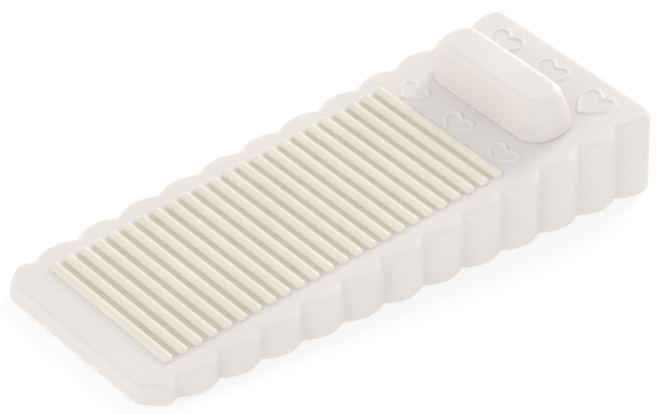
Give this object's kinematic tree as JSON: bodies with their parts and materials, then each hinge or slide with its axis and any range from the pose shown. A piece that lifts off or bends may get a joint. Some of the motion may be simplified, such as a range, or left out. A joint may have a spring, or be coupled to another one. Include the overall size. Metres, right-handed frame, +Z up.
{
  "type": "washboard wedge",
  "caption": "Small moulded washboard wedge: a white scalloped body with cream ribs across its sloping deck, raised hearts and a bar of soap.",
  "frame": {"origin": "middle of the flat underside", "axes": "+X from the thin end to the thick end, +Y across the deck, +Z up"},
  "size_m": [0.1274, 0.051, 0.0254],
  "materials": {
    "body_white": "satin, slightly translucent",
    "rib_cream": "satin, slightly translucent",
    "soap_white": "satin, slightly translucent"
  },
  "bodies": {
    "root": {"wedge_body": "body_white", "soap_bar": "soap_white", "rib_01": "rib_cream", "rib_02": "rib_cream", "rib_03": "rib_cream", "rib_04": "rib_cream", "rib_05": "rib_cream", "rib_06": "rib_cream", "rib_07": "rib_cream", "rib_08": "rib_cream", "rib_09": "rib_cream", "rib_10": "rib_cream", "rib_11": "rib_cream", "rib_12": "rib_cream", "rib_13": "rib_cream", "rib_14": "rib_cream", "rib_15": "rib_cream", "rib_16": "rib_cream", "rib_17": "rib_cream", "rib_18": "rib_cream", "rib_19": "rib_cream", "rib_20": "rib_cream", "rib_21": "rib_cream", "rib_22": "rib_cream", "rib_23": "rib_cream", "rib_24": "rib_cream"}
  },
  "joints": []
}
